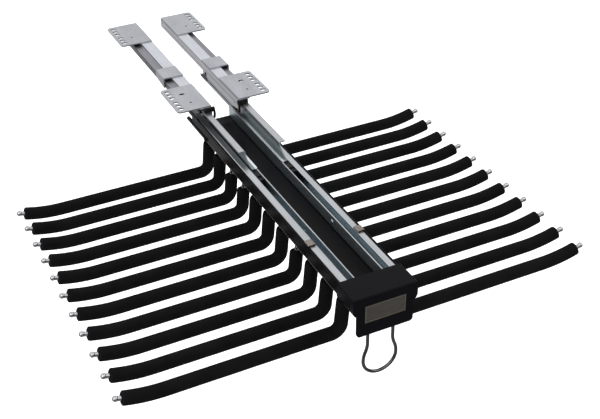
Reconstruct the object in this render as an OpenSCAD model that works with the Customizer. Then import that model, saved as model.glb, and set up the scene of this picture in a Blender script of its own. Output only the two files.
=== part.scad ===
// Pull-out trouser rack that hangs under a wardrobe shelf on two telescopic slides.
// The origin lies midway between the front slot groups, on the top face of the fixing plates.
// X runs across the rack, Y to the back of the wardrobe and Z up. It is drawn pulled fully out.

/* [Fixing plates] */
// Distance between the left and right columns of fixing slots
slot_columns = 100; // [96:1:130]
// Distance from the front plates to the rear plates, middle to middle
plate_pitch = 192; // [160:1:194]
// Length of a fixing plate along the rail
plate_l = 59; // [56:1:66]
// Thickness of the plates and bridges
plate_t = 1.5; // [1.2:0.1:2]
// From the middle of the slots to the outer edge of the plate
plate_rim = 6.2; // [5:0.1:9]
// Corner radius of the plates
plate_corner = 4; // [2:0.5:5]
// Width of a fixing slot
slot_w = 4.2; // [3.5:0.1:5]
// End-to-end length of a fixing slot
slot_l = 6.5; // [6:0.1:8]
// Distance between neighbouring slots
slot_pitch = 8; // [7:0.5:8.5]
// Distance between the two slots nearest the middle
slot_middle = 12; // [10:0.5:12]

/* [Slides] */
// Length of the rails fixed to the wardrobe
slide_l = 252; // [244:1:300]
// How far the rack pulls out
travel = 250; // [220:1:250]
// Height from the top of the plates down to the top of the carriage
hang = 20.5; // [19.5:0.5:26]
// Width of the raised middle of a fixed rail
crown_w = 15; // [14:0.5:17]
// Height of the raised middle above the shelf beside it
crown_h = 3; // [2:0.5:4]
// Overall width of a fixed rail
fixed_rail_w = 23.6; // [21.5:0.1:28]
// Sheet thickness of the fixed rails
fixed_rail_t = 1; // [0.8:0.1:1.2]
// Length of the intermediate rails
middle_rail_l = 216; // [200:1:230]
// Width of the top flange of an intermediate rail
middle_flange_w = 7.2; // [6.6:0.1:8]
// Sheet thickness of the intermediate rails
middle_rail_t = 1; // [0.8:0.1:1.2]
// Width of the drawer rails
drawer_rail_w = 15; // [14:0.5:18]
// Height of the drawer rails
drawer_rail_h = 13.7; // [13:0.1:15]
// Sheet thickness of the drawer rails
drawer_rail_t = 1.2; // [1:0.1:1.4]
// Width of the top strip of a drawer rail
drawer_strip_w = 7.2; // [6:0.1:8]
// Diameter of the upper rollers
upper_roller_d = 3.5; // [3:0.1:4.5]
// Diameter of the lower rollers
lower_roller_d = 6.4; // [6:0.1:7]

/* [Carriage] */
// Width of the channel that carries the arms
channel_w = 61.6; // [58:0.2:80]
// Length of the channel
channel_l = 348.5; // [340:0.5:380]
// Wall thickness of the channel
channel_wall = 1.6; // [1.4:0.1:1.9]
// Floor thickness of the channel
channel_floor = 4.2; // [3.8:0.1:5]
// Radius of the channel's lower edges
channel_edge_r = 4; // [2:0.5:4.5]
// Distance from the front slots to the front panel, pushed in
panel_reach = 140.7; // [130:0.1:170]
// Length of the front cap, from its panel back to its rear edge
cap_l = 31.7; // [29:0.1:40]
// Wall of the front cap beside the channel
cap_side = 2.5; // [2.3:0.1:4]
// Radius of the front cap's lower edges
cap_edge_r = 6; // [4:0.5:7]
// Height of the front panel
panel_h = 42.6; // [40:0.1:50]
// Width of the lower part of the front panel
panel_w = 58.4; // [54:0.2:62]
// Width of the badge plate
badge_w = 42.2; // [36:0.2:50]
// Height of the badge plate
badge_h = 19.2; // [16:0.2:21]

/* [Arms] */
// Number of hanging rods, each with an arm on both sides
rod_count = 11; // [9:1:11]
// Distance between neighbouring rods
rod_pitch = 32; // [30:1:32]
// Diameter of the hanging rods
rod_d = 4.8; // [4:0.1:5]
// Diameter of the ball on each rod end
ball_d = 5.8; // [5.4:0.1:7]
// Outer diameter of the foam sleeves
sleeve_d = 13.8; // [11:0.1:14]
// Distance between the ball centres of a rod
rod_span = 492.8; // [440:0.2:560]
// Depth of the straight run of an arm below the channel
arm_drop = 38.3; // [35:0.1:50]
// Distance between the two legs of a rod at the channel
leg_span = 52; // [48:0.5:54]
// Centreline radius of the bend at the foot of a leg
foot_bend_r = 10.5; // [9:0.5:13]
// Length of the part of an arm that curves up to the ball
tip_l = 46.4; // [40:0.2:60]
// How far the ball lies above the straight run
tip_rise = 7.4; // [5:0.1:10]

/* [Pull handle] */
// Wire diameter of the pull handle
handle_d = 3.4; // [3:0.1:4]
// Distance between the legs of the pull handle
handle_legs = 26.6; // [24:0.2:30]
// Centreline width of the handle's round loop
handle_loop_w = 35; // [33:0.5:44]
// Distance from the panel's lower edge down to the middle of the loop
handle_drop = 38.1; // [34:0.1:50]
// Height of the curved neck of the handle
handle_neck = 21; // [18:0.5:26]

/* [Hidden] */
$fn = 48;
// Play between parts that slide or roll past each other
play = 0.3;
// Play between the webs of two rails
web_play = 2.3;
// Overrun of every cut past the surface it opens
cut = 1;
// Inside radius of a rolled bend, and the steps that round it
roll_r = 0.4;
bend_steps = 4;
edge_steps = 8;

// Fixed rails
front_overhang = 30;
return_gap = 1.5;
web_deep_h = 17.1;
web_shallow_h = 10.9;
web_nose_h = 12;
web_nose_l = 22;
web_ramp_y = 64;
web_ramp_l = 7;
web_ramp_r = 4;
bead_h = 3.2;
bead_out = 0.4;
bead_drop = 8;
bead_margin = 12;
rail_hole_d = 2.4;
rail_hole_inset = 6;
rail_hole_drop = 4;
lip_hole_count = 3;
lip_hole_pitch = 17;
lip_hole_y = 102.5;
lip_hole_drop = 3;
outer_setback = 26;

// Plates and bridges
plate_inset = 0.6;
key_hole_w = 3.4;
key_hole_l = 6.4;
key_hole_in = 20.2;
key_hole_y = 10.3;
pilot_hole_d = 2.6;
front_pilot_in = 18.3;
front_pilot_y = -12.3;
rear_pilot_in = 19.7;
rear_pilot_y = -10;
bridge_l = 26;
bridge_y = 69.5;
bridge_flange_front = 12;
bridge_flange_rear = 9;

// Front guides and catch hooks
guide_l = 6;
guide_head_t = 3;
guide_head_w = 12.4;
finger_t = 2;
finger_r = 9;
finger_w = 2.4;
finger_gap = 0.4;
finger_set = 4;
finger_drop = 9;
finger_sweep = 110;
hook_d = 1.2;
hook_leg = 3.2;
hook_r = 2.6;
hook_tail = 8.5;
hook_turn = 10;
hook_y = 70;
hook_drop = 9.8;

// Intermediate rails
middle_closed_y = -3;
nose_l = 19;
nose_drop = 11.4;
dust_lip_w = 5.7;
dust_lip_rear = 4;
nose_guide_l = 20.5;
nose_guide_grip = 6;
nose_notch_l = 7;
nose_notch_at = 1.5;
slot_gap = 4.3;

// Roller cages and rollers
cage_wall = 1.2;
leaf_recess = 0.8;
upper_skid_t = 3.6;
upper_cage_l = 106;
lower_cage_l = 130;
cage_gap = 2;
upper_roller_l = 7;
lower_roller_l = 4.4;
roller_inset = 14;

// Channel and drawer rails
groove_w = 0.8;
groove_depth = 0.4;
groove_drop = 2.8;
rail_tail = 13.5;
dimple_d = 5;
dimple_depth = 0.5;
dimple_drop = 7.5;
dimple_y = 107;

// Front cap and badge
cap_over = 1.1;
cap_socket = 7;
cap_wall = 2.2;
cap_top_r = 2;
cap_corner = 1;
cap_cavity_w = 50;
cap_groove_w = 0.8;
cap_groove_depth = 0.5;
cap_groove_drop = 4.6;
panel_t = 2.5;
panel_corner = 3.5;
boss_wall = 2;
rib_t = 1.4;
badge_drop = 9.4;
badge_sink = 1;
badge_t = 0.8;
badge_rim = 1.5;
badge_rim_h = 0.3;
handle_setback = 8;
handle_grip = 12;

// Rear cap
rear_cap_l = 15.5;
rear_arm_l = 10;
rear_arm_h = 4.4;
rear_arm_rise = 0.9;
buffer_d = 4.4;
buffer_l = 14;
buffer_drop = 12.5;
strap_l = 28.5;
strap_h = 3;
strap_t = 1;
nib_d = 3;
nib_l = 2.2;

// Clips, clamp strip, screws and rivets
clip_l = 9;
clip_y = 69;
clip_inset = 0.4;
clip_t = 0.8;
clip_rise = 2;
strip_gap = 0.9;
strip_t = 3.5;
strip_margin = 3;
screw_d = 4;
screw_head_d = 7.4;
screw_head_h = 2.4;
screw_grip = 3.2;
screw_step = 3;
rivet_d = 3.2;
rivet_head_d = 5.6;
rivet_head_h = 1.6;
rivet_sink = 1;
rivet_first = 1;
rivet_step = 4;
row_inset = 7.7;

// Arms
cross_bend_r = 7.2;
leg_lean = 5.4;
sleeve_bare = 3.2;
sleeve_wrap = 26;
bare_legs = [3, 7, 8];
tip_bare = 6;

// Heights, measured from the top face of the plates
rail_z = -plate_t;
crown_under_z = rail_z - fixed_rail_t;
shelf_z = rail_z - crown_h;
middle_z = crown_under_z - upper_roller_d - 2 * play;
middle_under_z = middle_z - middle_rail_t;
return_z = middle_under_z - upper_skid_t - 2 * play;
fixed_bottom_z = return_z - fixed_rail_t;
carriage_z = -hang;
strip_under_z = carriage_z - drawer_rail_t;
foot_z = strip_under_z - lower_roller_d - 2 * play;
middle_bottom_z = foot_z - middle_rail_t;
dust_lip_z = carriage_z + play + middle_rail_t;
drawer_bottom_z = carriage_z - drawer_rail_h;
drawer_floor_z = drawer_bottom_z + drawer_rail_t;
channel_bottom_z = drawer_bottom_z - channel_floor;
upper_axle_z = middle_z + play + upper_roller_d / 2;
lower_axle_z = foot_z + play + lower_roller_d / 2;
cap_top_z = carriage_z + cap_over;
panel_bottom_z = cap_top_z - panel_h;
run_z = channel_bottom_z - arm_drop;
loop_z = panel_bottom_z - handle_drop;

// Distances from the middle plane
drawer_outer_x = channel_w / 2 - channel_wall;
drawer_inner_x = drawer_outer_x - drawer_rail_w;
drawer_wall_x = drawer_outer_x - drawer_rail_t;
strip_x = drawer_outer_x - drawer_strip_w;
rivet_x = (drawer_inner_x + drawer_outer_x) / 2;
clamp_x = rivet_x - rivet_head_d / 2 - strip_gap;
leg_x = drawer_inner_x + drawer_rail_t + slot_gap;
leg_face_x = leg_x + middle_rail_t;
middle_outer_x = leg_x + middle_flange_w;
return_x = leg_face_x + return_gap;
web_x = leg_x - web_play - fixed_rail_t;
crown_x = web_x + crown_w;
fixed_outer_x = web_x + fixed_rail_w;
upper_cage_x = middle_outer_x + play + cage_wall;
lower_cage_x = drawer_wall_x - play;
foot_outer_x = lower_cage_x - cage_wall - play;
plate_x = web_x + plate_inset;
slot_x = slot_columns / 2;
plate_outer_x = slot_x + plate_rim;
cap_x = channel_w / 2 + cap_side;

// Places along the rack
fixed_front_y = -front_overhang;
fixed_rear_y = fixed_front_y + slide_l;
middle_front_y = middle_closed_y - travel / 2;
middle_rear_y = middle_front_y + middle_rail_l;
nose_y = middle_front_y - nose_l;
panel_y = -travel - panel_reach;
cap_rear_y = panel_y + cap_l;
channel_front_y = cap_rear_y - cap_socket;
channel_rear_y = channel_front_y + channel_l;
drawer_rear_y = channel_rear_y + rail_tail;
upper_cage_y = fixed_front_y + guide_l + cage_gap;
lower_cage_y = nose_y + nose_guide_grip + cage_gap;
handle_y = panel_y + handle_setback;
function rod_y(i) = channel_front_y + row_inset + rod_pitch * i;
function between_rods_y(i) = rod_y(i) + rod_pitch / 2;

function two_digits(i) = str(i < 10 ? "0" : "", i);
function rod_name(i) = str("arm_rod_", two_digits(i + 1));
function sleeve_name(i) = str("arm_sleeves_", two_digits(i + 1));

// Directions and rounded corners of outlines
function unit(v) = v / norm(v);
function left_of(v) = [-v[1], v[0]];
function reversed(list) = [for (i = [len(list) - 1 : -1 : 0]) list[i]];

// Points that round the corner at p between directions u and v
function bend(p, u, v, r, steps) =
    let (side = sign(cross(u, v)),
         turn = acos(u * v),
         from = p - u * r * tan(turn / 2),
         centre = from + left_of(u) * r * side)
    [for (k = [0 : steps])
        centre - left_of(u) * r * side * cos(turn * k / steps) + u * r * sin(turn * k / steps)];

// One face of a bent sheet, shifted sideways from the face that the path follows
function sheet_face(path, t, shift) =
    let (last = len(path) - 1)
    [for (i = [0 : last])
        let (u = unit(i > 0 ? path[i] - path[i - 1] : path[1] - path[0]),
             v = i < last ? unit(path[i + 1] - path[i]) : u,
             side = sign(cross(u, v)),
             p = path[i] + (left_of(u) + left_of(v)) * shift / (1 + u * v))
        each side == 0 ? [p] : bend(p, u, v, roll_r + (side > 0 ? t - shift : shift), bend_steps)];

// Section of a bent sheet, which lies to the left of its path
module sheet(path, t) {
    polygon(concat(sheet_face(path, t, 0), reversed(sheet_face(path, t, t))));
}

// Closed outline with rounded corners; corners holds one radius for each point
module outline(points, corners) {
    last = len(points) - 1;
    polygon([for (i = [0 : last])
        let (u = unit(points[i] - points[i > 0 ? i - 1 : last]),
             v = unit(points[i < last ? i + 1 : 0] - points[i]))
        each corners[i] == 0 ? [points[i]] : bend(points[i], u, v, corners[i], edge_steps)]);
}

// A section in the XZ plane drawn out along Y
module along_y(y0, y1) {
    translate([0, y1, 0]) rotate([90, 0, 0]) linear_extrude(y1 - y0) children();
}

// A section in the YZ plane drawn out along X
module along_x(x0, x1) {
    translate([x0, 0, 0]) rotate([90, 0, 90]) linear_extrude(x1 - x0) children();
}

// A section in the XY plane drawn out along Z
module along_z(z0, z1) {
    translate([0, 0, z0]) linear_extrude(z1 - z0) children();
}

// A rectangle between two corners
module span(x0, y0, x1, y1) {
    translate([x0, y0]) square([x1 - x0, y1 - y0]);
}

// A slot with round ends, long along X
module slot(l, w) {
    square([l - w, w], center = true);
    for (end = [-1, 1]) translate([end * (l - w) / 2, 0]) circle(d = w);
}

// The left-hand piece is the mirror image of the right-hand one
module on_side(side) {
    if (side == "left") mirror([1, 0, 0]) children();
    else children();
}

module both_sides() {
    children();
    mirror([1, 0, 0]) children();
}

// Fixed rails: a rolled channel with a raised crown, a deep inner web and a return under it
module fixed_rail_section() {
    sheet([[return_x, fixed_bottom_z],
           [fixed_outer_x, fixed_bottom_z],
           [fixed_outer_x, shelf_z],
           [crown_x, shelf_z],
           [crown_x, rail_z],
           [web_x, rail_z],
           [web_x, rail_z - web_deep_h]], fixed_rail_t);
}

module bead_section(x) {
    polygon([[x + cut, rail_z - bead_drop + bead_h / 2],
             [x, rail_z - bead_drop + bead_h / 2],
             [x - bead_out, rail_z - bead_drop + bead_h / 4],
             [x - bead_out, rail_z - bead_drop - bead_h / 4],
             [x, rail_z - bead_drop - bead_h / 2],
             [x + cut, rail_z - bead_drop - bead_h / 2]]);
}

module web_trim() {
    deep_z = rail_z - web_deep_h;
    low_z = deep_z - cut;
    shallow_z = rail_z - web_shallow_h;
    ramp_end = web_ramp_y + web_ramp_l;
    along_x(web_x - bead_out - cut, web_x + fixed_rail_t + cut) {
        outline([[web_ramp_y, low_z], [web_ramp_y, deep_z], [ramp_end, shallow_z],
                 [fixed_rear_y + cut, shallow_z], [fixed_rear_y + cut, low_z]],
                [0, 0, web_ramp_r, 0, 0]);
        polygon([[fixed_front_y - cut, low_z], [fixed_front_y - cut, rail_z - web_nose_h],
                 [fixed_front_y, rail_z - web_nose_h],
                 [fixed_front_y + web_nose_l, deep_z], [fixed_front_y + web_nose_l, low_z]]);
    }
}

module cabinet_rail(side) {
    color("silver") on_side(side) difference() {
        union() {
            along_y(fixed_front_y, fixed_rear_y) fixed_rail_section();
            along_y(fixed_front_y + bead_margin, fixed_rear_y - bead_margin)
                intersection() {
                    bead_section(web_x);
                    span(web_x - bead_out, fixed_bottom_z, web_x + fixed_rail_t / 2, rail_z);
                }
        }
        along_y(fixed_front_y + bead_margin, fixed_rear_y - bead_margin)
            intersection() {
                bead_section(web_x + fixed_rail_t);
                span(web_x, fixed_bottom_z, web_x + fixed_rail_t + cut, rail_z);
            }
        web_trim();
        along_y(fixed_front_y - cut, fixed_front_y + outer_setback) {
            span(crown_x - fixed_rail_t - roll_r, fixed_bottom_z - cut,
                 fixed_outer_x + cut, rail_z + cut);
            span(return_x - cut, fixed_bottom_z - cut, fixed_outer_x + cut, return_z + cut);
        }
        for (i = [0 : lip_hole_count - 1])
            translate([fixed_outer_x - fixed_rail_t - cut, lip_hole_y + lip_hole_pitch * i,
                       shelf_z - lip_hole_drop])
                rotate([0, 90, 0]) cylinder(d = rail_hole_d, h = fixed_rail_t + 2 * cut);
        translate([web_x - cut, fixed_rear_y - rail_hole_inset, rail_z - rail_hole_drop])
            rotate([0, 90, 0]) cylinder(d = rail_hole_d, h = fixed_rail_t + 2 * cut);
    }
}

// Fixing plates: six slots in line with the rail, and small locating holes
module plate_blank() {
    l = plate_l;
    r = plate_corner;
    along_z(-plate_t, 0) {
        span(plate_x, -l / 2, plate_outer_x - r, l / 2);
        span(plate_x, r - l / 2, plate_outer_x, l / 2 - r);
        for (end = [-1, 1]) translate([plate_outer_x - r, end * (l / 2 - r)]) circle(r = r);
    }
}

module plate_slots() {
    along_z(-plate_t - cut, cut)
        for (end = [-1, 1])
            for (i = [0 : 2])
                translate([slot_x, end * (slot_middle / 2 + slot_pitch * i)]) slot(slot_l, slot_w);
}

module front_plate(side) {
    color("silver") on_side(side) difference() {
        plate_blank();
        plate_slots();
        along_z(-plate_t - cut, cut) {
            translate([web_x + key_hole_in, key_hole_y]) slot(key_hole_l, key_hole_w);
            translate([web_x + front_pilot_in, front_pilot_y]) circle(d = pilot_hole_d);
        }
    }
}

module rear_plate(side) {
    color("silver") on_side(side) translate([0, plate_pitch, 0]) difference() {
        plate_blank();
        plate_slots();
        along_z(-plate_t - cut, cut)
            translate([web_x + rear_pilot_in, rear_pilot_y]) circle(d = pilot_hole_d);
    }
}

// Bridges tie the crown of each fixed rail to its outer wall
module bridge_plates() {
    front = bridge_y - bridge_l / 2;
    rear = bridge_y + bridge_l / 2;
    outer_x = fixed_outer_x + plate_t;
    color("silver") both_sides() difference() {
        along_y(front, rear)
            sheet([[outer_x, -bridge_flange_front], [outer_x, 0], [plate_x, 0]], plate_t);
        along_x(fixed_outer_x - cut, outer_x + cut)
            polygon([[front, -bridge_flange_front], [rear, -bridge_flange_rear],
                     [rear + cut, -bridge_flange_rear],
                     [rear + cut, -bridge_flange_front - cut],
                     [front, -bridge_flange_front - cut]]);
    }
}

// Front guides: plastic blocks that close the fixed rails and steady the intermediate rails
module front_guide(side) {
    finger_x = web_x - finger_gap - finger_t;
    head_y = fixed_front_y - guide_head_t;
    under_z = middle_z + play;
    plug_x = web_x + fixed_rail_t;
    color("dimgray") on_side(side) {
        translate([plug_x, fixed_front_y - guide_head_t / 2, under_z])
            cube([finger_x + guide_head_w - plug_x, guide_l + guide_head_t / 2,
                  crown_under_z - under_z]);
        translate([finger_x, head_y, under_z])
            cube([guide_head_w, guide_head_t, rail_z - under_z]);
        translate([finger_x, fixed_front_y + finger_set, -finger_drop])
            rotate([90, 0, 90]) rotate([0, 0, 180 - finger_sweep / 3])
                rotate_extrude(angle = finger_sweep)
                    translate([finger_r - finger_w, 0]) square([finger_w, finger_t]);
    }
}

// Catch hooks: bent wires on the webs of the fixed rails
module catch_hook() {
    translate([web_x - hook_d / 2, hook_y, rail_z - hook_drop]) rotate([0, 0, hook_turn]) {
        translate([0, 0, -hook_leg]) cylinder(d = hook_d, h = hook_leg);
        translate([0, hook_r, -hook_leg]) rotate([90, 0, 90]) rotate([0, 0, 180])
            rotate_extrude(angle = 90) translate([hook_r, 0]) circle(d = hook_d);
        translate([0, hook_r, -hook_leg - hook_r]) rotate([-90, 0, 0])
            cylinder(d = hook_d, h = hook_tail);
    }
}

module catch_hooks() {
    color("dimgray") both_sides() catch_hook();
}

// Intermediate rails: the top flange runs in the fixed rail, the foot in the drawer rail
module middle_section() {
    sheet([[middle_outer_x, middle_z], [leg_x, middle_z],
           [leg_x, middle_bottom_z], [foot_outer_x, middle_bottom_z]], middle_rail_t);
}

module nose_cutter() {
    r = (nose_l * nose_l + nose_drop * nose_drop) / (2 * nose_drop);
    along_x(leg_x - dust_lip_w - cut, middle_outer_x + cut) intersection() {
        translate([nose_y, middle_under_z - nose_drop + r]) circle(r = r);
        span(nose_y - cut, middle_under_z - nose_drop - cut, middle_front_y, 0);
    }
}

module intermediate_rail(side) {
    color("lightgray") on_side(side) {
        difference() {
            along_y(nose_y, middle_rear_y) middle_section();
            nose_cutter();
        }
        along_z(dust_lip_z - middle_rail_t, dust_lip_z)
            outline([[leg_x, nose_y], [leg_x, middle_rear_y - dust_lip_rear],
                     [leg_x - dust_lip_w, middle_rear_y - dust_lip_rear],
                     [leg_x - dust_lip_w, nose_y]],
                    [0, 0, dust_lip_w / 2, dust_lip_w / 2]);
    }
}

// Nose guides: plastic shoes on the front ends of the intermediate rails
module nose_guide(side) {
    front = nose_y - nose_guide_l;
    wall_x = drawer_inner_x + drawer_rail_t + play;
    floor_z = drawer_floor_z + play;
    color("dimgray") on_side(side) difference() {
        union() {
            along_y(front, nose_y + nose_guide_grip)
                span(wall_x, floor_z, lower_cage_x, strip_under_z - play);
            along_y(front, nose_y)
                span(wall_x, floor_z, strip_x - play, carriage_z - play);
        }
        along_y(nose_y, nose_y + nose_guide_grip + cut) middle_section();
        translate([wall_x - cut, front + nose_notch_at, strip_under_z - play])
            cube([strip_x - wall_x + cut, nose_notch_l, drawer_rail_t + cut]);
    }
}

// Roller cages: each wraps one flange of the intermediate rail and holds two rollers
module cage_pocket(x0, x1, d, y, z) {
    translate([x0 - play, y - d / 2 - play, z - d / 2])
        cube([x1 - x0 + 2 * play, d + 2 * play, d]);
}

module upper_roller_cage(side) {
    inner_x = web_x + fixed_rail_t + play;
    wall_x = upper_cage_x - cage_wall;
    roller_x = wall_x - play - upper_roller_l;
    leaf = upper_roller_d / 2 - leaf_recess;
    color("dimgray") on_side(side) difference() {
        along_y(upper_cage_y, upper_cage_y + upper_cage_l) {
            span(inner_x, upper_axle_z - leaf, upper_cage_x, upper_axle_z + leaf);
            span(wall_x, return_z + play, upper_cage_x, upper_axle_z + leaf);
            span(leg_face_x + play, return_z + play, upper_cage_x, middle_under_z - play);
        }
        for (y = [upper_cage_y + roller_inset, upper_cage_y + upper_cage_l - roller_inset])
            cage_pocket(roller_x, wall_x - play, upper_roller_d, y, upper_axle_z);
    }
}

module lower_roller_cage(side) {
    wall_x = lower_cage_x - cage_wall;
    roller_x = wall_x - play - lower_roller_l;
    leaf = lower_roller_d / 2 - leaf_recess;
    inner_x = leg_face_x + play;
    color("dimgray") on_side(side) difference() {
        along_y(lower_cage_y, lower_cage_y + lower_cage_l) {
            span(inner_x, lower_axle_z - leaf, lower_cage_x, lower_axle_z + leaf);
            span(wall_x, drawer_floor_z + play, lower_cage_x, lower_axle_z + leaf);
            span(inner_x, drawer_floor_z + play, lower_cage_x, middle_bottom_z - play);
        }
        for (y = [lower_cage_y + roller_inset, lower_cage_y + lower_cage_l - roller_inset])
            cage_pocket(roller_x, wall_x - play, lower_roller_d, y, lower_axle_z);
    }
}

// Rollers: end is 0 for the front roller of a cage and 1 for the rear one
module upper_roller(side, end) {
    wall_x = upper_cage_x - cage_wall;
    y = upper_cage_y + (end == 0 ? roller_inset : upper_cage_l - roller_inset);
    color("white") on_side(side) translate([wall_x - play - upper_roller_l, y, upper_axle_z])
        rotate([0, 90, 0]) cylinder(d = upper_roller_d, h = upper_roller_l);
}

module lower_roller(side, end) {
    wall_x = lower_cage_x - cage_wall;
    y = lower_cage_y + (end == 0 ? roller_inset : lower_cage_l - roller_inset);
    color("white") on_side(side) translate([wall_x - play - lower_roller_l, y, lower_axle_z])
        rotate([0, 90, 0]) cylinder(d = lower_roller_d, h = lower_roller_l);
}

// Channel: a black extrusion with a trough between its walls and a groove along each side
module channel_outline() {
    x = channel_w / 2;
    outline([[-x, carriage_z], [-x, channel_bottom_z], [x, channel_bottom_z], [x, carriage_z]],
            [0, channel_edge_r, channel_edge_r, 0]);
}

module side_grooves(x, z, depth, w) {
    for (s = [-1, 1])
        polygon([[s * (x + cut), z + w / 2 + cut], [s * x, z + w / 2], [s * (x - depth), z],
                 [s * x, z - w / 2], [s * (x + cut), z - w / 2 - cut]]);
}

module rod_grooves() {
    for (i = [0 : rod_count - 1])
        translate([-channel_w / 2 - cut, rod_y(i), channel_bottom_z])
            rotate([0, 90, 0]) cylinder(d = rod_d, h = channel_w + 2 * cut);
}

module carriage_channel() {
    color("black") difference() {
        along_y(channel_front_y, channel_rear_y) difference() {
            channel_outline();
            span(-drawer_outer_x, drawer_bottom_z, drawer_outer_x, carriage_z + cut);
            side_grooves(channel_w / 2, carriage_z - groove_drop, groove_depth, groove_w);
        }
        rod_grooves();
        rivet_places() cylinder(d = rivet_d, h = channel_floor + drawer_rail_t);
        screw_places() translate([0, 0, -cut]) cylinder(d = screw_d, h = screw_grip + cut);
    }
}

// Drawer rails: rolled channels whose top strip rests on the lower rollers
module drawer_rail(side) {
    color("gainsboro") on_side(side) difference() {
        union() {
            along_y(channel_front_y, drawer_rear_y)
                sheet([[drawer_inner_x, carriage_z], [drawer_inner_x, drawer_bottom_z],
                       [drawer_outer_x, drawer_bottom_z], [drawer_outer_x, carriage_z],
                       [strip_x, carriage_z]], drawer_rail_t);
            dimple(drawer_inner_x - dimple_depth, dimple_depth + drawer_rail_t / 2);
        }
        dimple(drawer_inner_x + drawer_rail_t - dimple_depth, dimple_depth + cut);
        rivet_places() {
            cylinder(d = rivet_d, h = channel_floor + drawer_rail_t);
            rivet_countersink();
        }
    }
}

module dimple(x, h) {
    translate([x, channel_front_y + dimple_y, carriage_z - dimple_drop])
        rotate([0, 90, 0]) cylinder(d = dimple_d, h = h);
}

// Rivets: flush heads inside the drawer rails, domed heads under the channel
module rivet_places() {
    for (s = [-1, 1])
        for (i = [rivet_first : rivet_step : rod_count - 2])
            translate([s * rivet_x, between_rods_y(i), channel_bottom_z]) children();
}

module rivet_countersink() {
    translate([0, 0, channel_floor + drawer_rail_t - rivet_sink])
        cylinder(d1 = rivet_d, d2 = rivet_d + 2 * rivet_sink, h = rivet_sink);
}

module rail_rivets() {
    dome_r = (rivet_head_d * rivet_head_d / 4 + rivet_head_h * rivet_head_h) / (2 * rivet_head_h);
    color("silver") rivet_places() {
        cylinder(d = rivet_d, h = channel_floor + drawer_rail_t);
        rivet_countersink();
        intersection() {
            translate([0, 0, dome_r - rivet_head_h]) sphere(r = dome_r);
            translate([0, 0, -rivet_head_h]) cylinder(d = rivet_head_d, h = rivet_head_h);
        }
    }
}

// Stop clips: bent sheet bridges on the channel's edge and the top strip of each drawer rail
module stop_clips() {
    y = channel_front_y + clip_y;
    top_z = carriage_z + clip_rise;
    outer_x = channel_w / 2 - clip_inset;
    inner_x = strip_x + clip_inset;
    color("rosybrown") both_sides() along_y(y, y + clip_l)
        sheet([[outer_x, carriage_z], [outer_x, top_z], [inner_x, top_z], [inner_x, carriage_z]],
              clip_t);
}

// Front cap: a moulded hood over the channel's end with a panel that hangs below it
module hood_outline() {
    outline([[-cap_x, cap_top_z], [-cap_x, channel_bottom_z],
             [cap_x, channel_bottom_z], [cap_x, cap_top_z]],
            [cap_corner, cap_edge_r, cap_edge_r, cap_corner]);
}

module panel_outline() {
    hood_outline();
    outline([[-panel_w / 2, channel_bottom_z + cap_edge_r], [-panel_w / 2, panel_bottom_z],
             [panel_w / 2, panel_bottom_z], [panel_w / 2, channel_bottom_z + cap_edge_r]],
            [0, panel_corner, panel_corner, 0]);
}

module front_edge_cutter() {
    along_x(-cap_x - cut, cap_x + cut) difference() {
        span(panel_y - cut, cap_top_z - cap_top_r, panel_y + cap_top_r, cap_top_z + cut);
        translate([panel_y + cap_top_r, cap_top_z - cap_top_r]) circle(r = cap_top_r);
    }
}

module cap_cavity() {
    front = panel_y + panel_t;
    rear = channel_front_y - cap_wall;
    roof_z = cap_top_z - cap_wall;
    difference() {
        along_y(front, rear)
            span(-cap_cavity_w / 2, channel_bottom_z - cut, cap_cavity_w / 2, roof_z);
        handle_places() translate([0, 0, channel_bottom_z - cut])
            cylinder(d = handle_d + 2 * boss_wall, h = roof_z - channel_bottom_z + 2 * cut);
        for (x = [-handle_legs / 2, 0, handle_legs / 2])
            along_y(front - cut, rear + cut)
                span(x - rib_t / 2, channel_bottom_z + cap_wall, x + rib_t / 2, roof_z + cut);
    }
}

module handle_places() {
    for (s = [-1, 1]) translate([s * handle_legs / 2, handle_y, 0]) children();
}

module badge_place(extra) {
    z = cap_top_z - badge_drop - badge_h;
    translate([-badge_w / 2, panel_y - extra, z]) cube([badge_w, badge_sink + extra, badge_h]);
}

module front_cap() {
    color("#26262a") difference() {
        union() {
            along_y(panel_y, panel_y + panel_t) panel_outline();
            along_y(panel_y + panel_t / 2, cap_rear_y) hood_outline();
        }
        cap_cavity();
        along_y(channel_front_y, cap_rear_y + cut) {
            channel_outline();
            span(-channel_w / 2, channel_bottom_z - cut, channel_w / 2, drawer_bottom_z);
        }
        front_edge_cutter();
        along_y(panel_y + panel_t, cap_rear_y + cut)
            side_grooves(cap_x, cap_top_z - cap_groove_drop, cap_groove_depth, cap_groove_w);
        badge_place(cut);
        handle_places() translate([0, 0, channel_bottom_z - cut])
            cylinder(d = handle_d, h = handle_grip + cut);
    }
}

// Badge plate: a plain plate with a raised rim, let into the panel
module badge_plate() {
    z = cap_top_z - badge_drop - badge_h;
    face_y = panel_y + badge_sink - badge_t;
    color("darkolivegreen") difference() {
        translate([-badge_w / 2, face_y, z]) cube([badge_w, badge_t, badge_h]);
        translate([badge_rim - badge_w / 2, face_y - cut, z + badge_rim])
            cube([badge_w - 2 * badge_rim, badge_rim_h + cut, badge_h - 2 * badge_rim]);
    }
}

// A bend about the origin that starts on the X axis and turns up towards the Z axis
module bar_bend(r, d, turn) {
    rotate([90, 0, 0]) rotate_extrude(angle = turn) translate([r, 0]) circle(d = d);
}

// All that lies above the XY plane, within reach of a bend
module above(reach) {
    translate([-reach, -reach, 0]) cube(2 * reach);
}

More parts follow.
